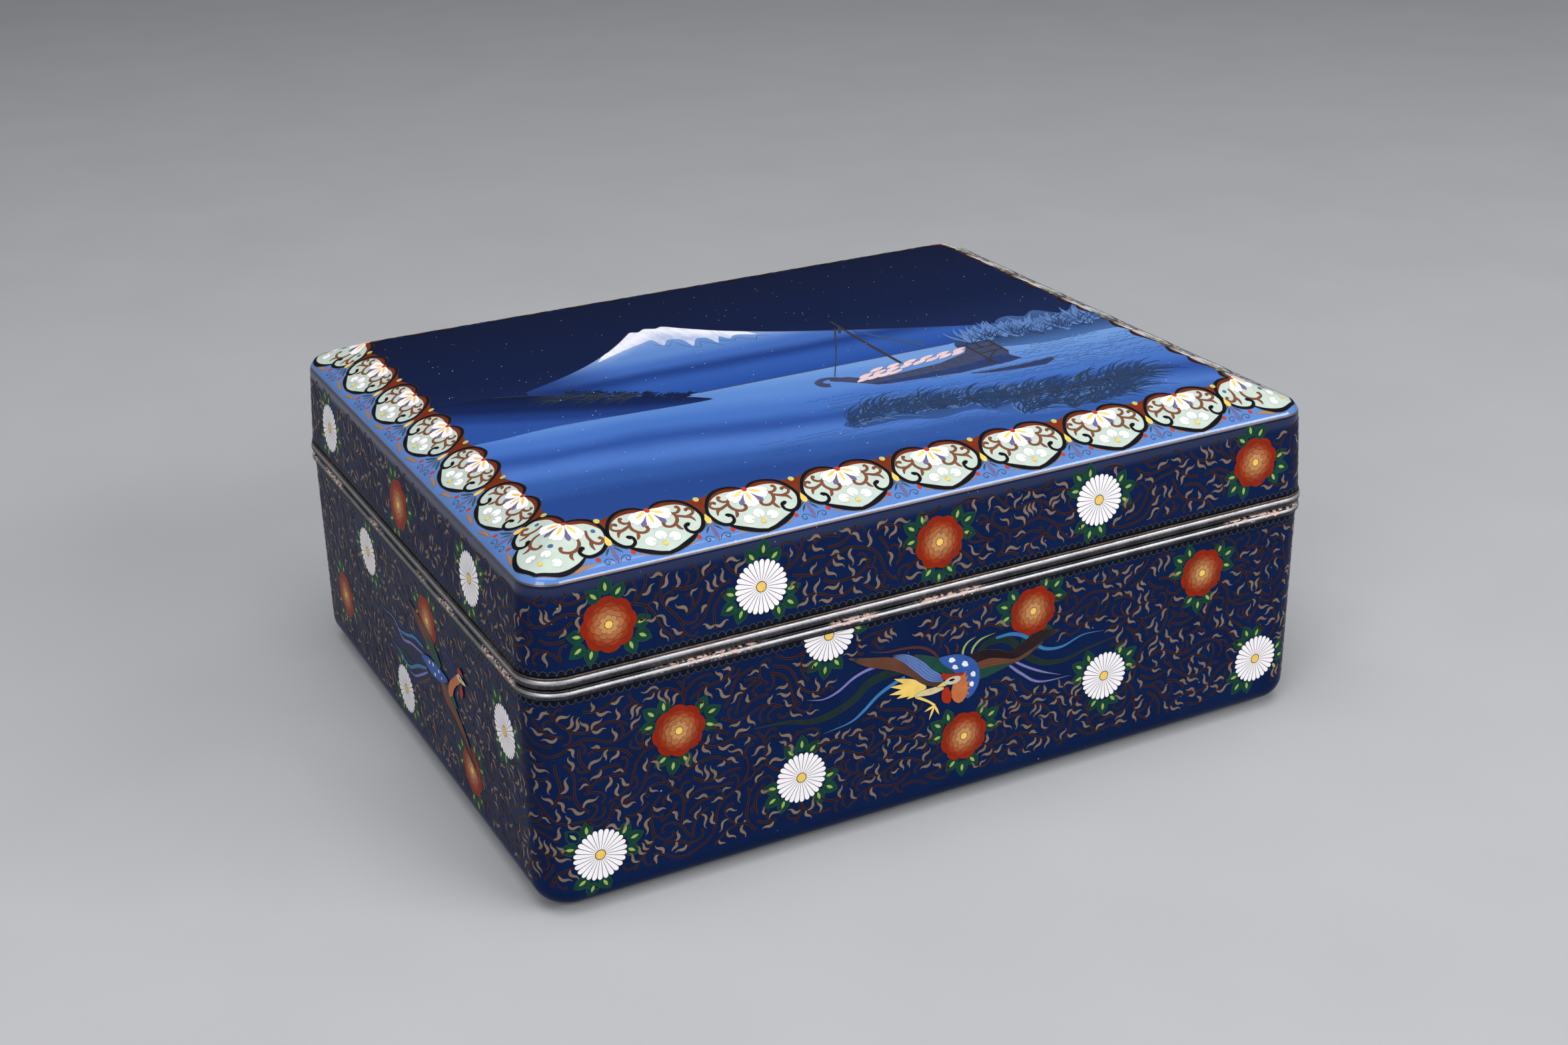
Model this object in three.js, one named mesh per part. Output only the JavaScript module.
// A cloisonne enamel box with a lift-off lid: a rounded rectangular copper body and a lid,
// both enamelled inside and out, each edged with a half-round silver moulding, on a felt pad.
// Units are millimetres, +Z is up. The origin is on the table under the middle of the box,
// X runs along the long side and the front of the box faces -Y.
//
// Every horizontal outline of the box is one rounded rectangle, grown outwards or inwards.
// "Reach" is how far an outline lies outside the flat picture panel on top of the lid.

import * as THREE from 'three';

// ---- driving dimensions -------------------------------------------------------------

const panelWidth = 184; // flat top of the lid, along X
const panelDepth = 142; // and along Y
const panelCornerRadius = 2.2; // corners of the flat top, seen from above
const sideCornerRadius = 9; // corners of the box, at the reach of the body's wall
const cornerSteps = 8; // flat steps in each rounded corner

const touchGap = 0.3; // play between two pieces that bear on each other
const wall = 2.2; // copper with enamel on both faces

const feltThickness = 1;
const feltInset = 0.4; // the felt stops this far inside the flat of the base
const bodyHeight = 54.4; // base to the top edge of the body's wall
const bodyReach = 14.9; // the upright wall of the body
const baseEdgeRadius = 6; // rounded edge between wall and base

const bodyRimHeight = 2.4;
const lidRimHeight = 2.8;
const rimReach = 15.7; // the most that both mouldings stand out
const rimSeatReach = 15.05; // where a moulding's curve starts and ends
const upstandReach = 12.2; // outer face of the collar that keeps the lid in place
const upstandWall = 1;
const upstandHeight = 4.5; // above the top of the body's moulding

const lidHeight = 28; // lower edge of the lid's wall to the flat top
const lidEdgeReach = 15.1; // the lid's wall at its lower edge
const lidShoulderReach = 13.75; // and where the shoulder's curve begins
const lidShoulderDrop = 8; // how far below the flat top that is
const borderSlope = THREE.MathUtils.degToRad(23); // fall of the sloped border
const shoulderRadius = 3.7;
const creaseRadius = 8; // soft bend between the flat top and the sloped border

// ---- heights worked out from them ---------------------------------------------------

const baseZ = feltThickness + touchGap;
const bodyTopZ = baseZ + bodyHeight;
const bodyRimZ = bodyTopZ + touchGap;
const lidRimZ = bodyRimZ + bodyRimHeight + touchGap;
const lidEdgeZ = lidRimZ + lidRimHeight + touchGap;
const panelZ = lidEdgeZ + lidHeight;

// ---- materials ----------------------------------------------------------------------

const enamel = new THREE.MeshStandardMaterial({ color: 0x16245e, roughness: 0.18, metalness: 0 });
const silver = new THREE.MeshStandardMaterial({ color: 0x6f6f72, roughness: 0.38, metalness: 1 });
const felt = new THREE.MeshStandardMaterial({ color: 0x2f5a3c, roughness: 0.95, metalness: 0 });

// ---- outlines and lofts -------------------------------------------------------------

// Outlines run parallel to the body's wall round the corners, so walls keep their thickness.
// On the sloped border they shrink no further than the corners of the flat top.
function cornerRadius(reach) {
  return Math.max(panelCornerRadius, sideCornerRadius + reach - bodyReach);
}

// One rounded rectangle, anticlockwise from above, at a reach.
function outline(reach) {
  const halfX = panelWidth / 2 + reach;
  const halfY = panelDepth / 2 + reach;
  const radius = cornerRadius(reach);
  const corners = [[1, -1], [1, 1], [-1, 1], [-1, -1]];
  const points = [];
  corners.forEach(([signX, signY], index) => {
    const arc = new THREE.EllipseCurve(
      signX * (halfX - radius),
      signY * (halfY - radius),
      radius,
      radius,
      (index - 1) * Math.PI / 2,
      index * Math.PI / 2,
    );
    points.push(...arc.getPoints(cornerSteps));
  });
  return points;
}

// Loft a profile round the box. A profile is a list of points (x = reach, y = height).
// A ring's profile closes on itself. Otherwise a flat cover closes its first and last outline.
function loft(profile, isRing) {
  const positions = [];
  const indices = [];
  const ringSize = 4 * (cornerSteps + 1);
  profile.forEach(({ x: reach, y: height }) => {
    outline(reach).forEach((point) => positions.push(point.x, point.y, height));
  });
  const bands = isRing ? profile.length : profile.length - 1;
  for (let band = 0; band < bands; band += 1) {
    const low = band * ringSize;
    const high = ((band + 1) % profile.length) * ringSize;
    for (let step = 0; step < ringSize; step += 1) {
      const next = (step + 1) % ringSize;
      indices.push(low + step, low + next, high + next);
      indices.push(low + step, high + next, high + step);
    }
  }
  if (!isRing) {
    const lastRing = (profile.length - 1) * ringSize;
    const firstCentre = positions.length / 3;
    positions.push(0, 0, profile[0].y);
    positions.push(0, 0, profile[profile.length - 1].y);
    for (let step = 0; step < ringSize; step += 1) {
      const next = (step + 1) % ringSize;
      indices.push(firstCentre, next, step);
      indices.push(firstCentre + 1, lastRing + step, lastRing + next);
    }
  }
  const geometry = new THREE.BufferGeometry();
  geometry.setAttribute('position', new THREE.Float32BufferAttribute(positions, 3));
  geometry.setIndex(indices);
  geometry.computeVertexNormals();
  return geometry;
}

// Points along an arc of a profile. Angles are in degrees, 0 outwards and 90 up.
function arcPoints(centreReach, centreZ, radius, fromDegrees, toDegrees, steps) {
  const from = THREE.MathUtils.degToRad(fromDegrees);
  const to = THREE.MathUtils.degToRad(toDegrees);
  const arc = new THREE.EllipseCurve(
    centreReach, centreZ, radius, radius, from, to, to < from,
  );
  return arc.getPoints(steps);
}

function at(reach, height) {
  return new THREE.Vector2(reach, height);
}

// ---- the body -----------------------------------------------------------------------

// Up the outside from the base, over the edge and down the inside to the floor.
function bodyProfile() {
  const centreReach = bodyReach - baseEdgeRadius;
  const centreZ = baseZ + baseEdgeRadius;
  return [
    ...arcPoints(centreReach, centreZ, baseEdgeRadius, -90, 0, 6),
    at(bodyReach, bodyTopZ),
    at(bodyReach - wall, bodyTopZ),
    ...arcPoints(centreReach, centreZ, baseEdgeRadius - wall, 0, -90, 4),
  ];
}

// Half-round outside, a flat seat above and below, and the collar inside the mouth.
function bodyRimProfile() {
  const topZ = bodyRimZ + bodyRimHeight;
  const upstandTopZ = topZ + upstandHeight;
  return [
    at(upstandReach - upstandWall, bodyRimZ),
    ...mouldingCurve(bodyRimZ, bodyRimHeight),
    at(upstandReach, topZ),
    at(upstandReach, upstandTopZ - upstandWall / 2),
    at(upstandReach - upstandWall / 2, upstandTopZ),
    at(upstandReach - upstandWall, upstandTopZ),
  ];
}

// The outward bulge of a moulding, from its lower seat to its upper seat.
function mouldingCurve(bottomZ, height) {
  const bulge = rimReach - rimSeatReach;
  const curve = new THREE.EllipseCurve(
    rimSeatReach, bottomZ + height / 2, bulge, height / 2, -Math.PI / 2, Math.PI / 2,
  );
  return curve.getPoints(8);
}

// ---- the lid ------------------------------------------------------------------------

function lidRimProfile() {
  const innerReach = lidEdgeReach - wall;
  return [
    at(innerReach, lidRimZ),
    ...mouldingCurve(lidRimZ, lidRimHeight),
    at(innerReach, lidRimZ + lidRimHeight),
  ];
}

// The lid's skin at a depth inside its outer face, from the lower edge up to the flat top.
function lidSkin(depth) {
  const lean = (lidEdgeReach - lidShoulderReach) / (lidHeight - lidShoulderDrop);
  const leanAngle = Math.atan(lean);
  const slopeNormal = at(Math.sin(borderSlope), Math.cos(borderSlope));
  const wallNormal = at(Math.cos(leanAngle), Math.sin(leanAngle));
  // where the sloped border and the wall would meet without the shoulder's curve
  const topOfWall = lidShoulderReach - lean * lidShoulderDrop;
  const meetReach = topOfWall / (1 - lean * Math.tan(borderSlope));
  const meet = at(meetReach, panelZ - meetReach * Math.tan(borderSlope));
  const halfTurn = slopeNormal.angleTo(wallNormal) / 2;
  const towardsCentre = slopeNormal.clone().add(wallNormal).normalize();
  const centre = meet.clone().addScaledVector(towardsCentre, -shoulderRadius / Math.cos(halfTurn));
  const shoulder = arcPoints(
    centre.x,
    centre.y,
    shoulderRadius - depth,
    THREE.MathUtils.radToDeg(leanAngle),
    90 - THREE.MathUtils.radToDeg(borderSlope),
    5,
  );
  const crease = arcPoints(
    -creaseRadius * Math.tan(borderSlope / 2),
    panelZ - creaseRadius,
    creaseRadius - depth,
    90 - THREE.MathUtils.radToDeg(borderSlope),
    90,
    3,
  );
  return [at(lidEdgeReach - depth, lidEdgeZ), ...shoulder, ...crease];
}

// Down the inside from the ceiling and up the outside to the flat top.
function lidProfile() {
  return [...lidSkin(wall).reverse(), ...lidSkin(0)];
}

// ---- the pieces ---------------------------------------------------------------------

function feltPad() {
  const reach = bodyReach - baseEdgeRadius - feltInset;
  const shape = new THREE.Shape(outline(reach));
  return new THREE.ExtrudeGeometry(shape, { depth: feltThickness, bevelEnabled: false });
}

function piece(name, geometry, material) {
  const mesh = new THREE.Mesh(geometry, material);
  mesh.name = name;
  return mesh;
}

const box = new THREE.Group();
box.add(piece('base_felt', feltPad(), felt));
box.add(piece('body_shell', loft(bodyProfile(), false), enamel));
box.add(piece('body_rim', loft(bodyRimProfile(), true), silver));
box.add(piece('lid_rim', loft(lidRimProfile(), true), silver));
box.add(piece('lid_shell', loft(lidProfile(), false), enamel));

export default box;
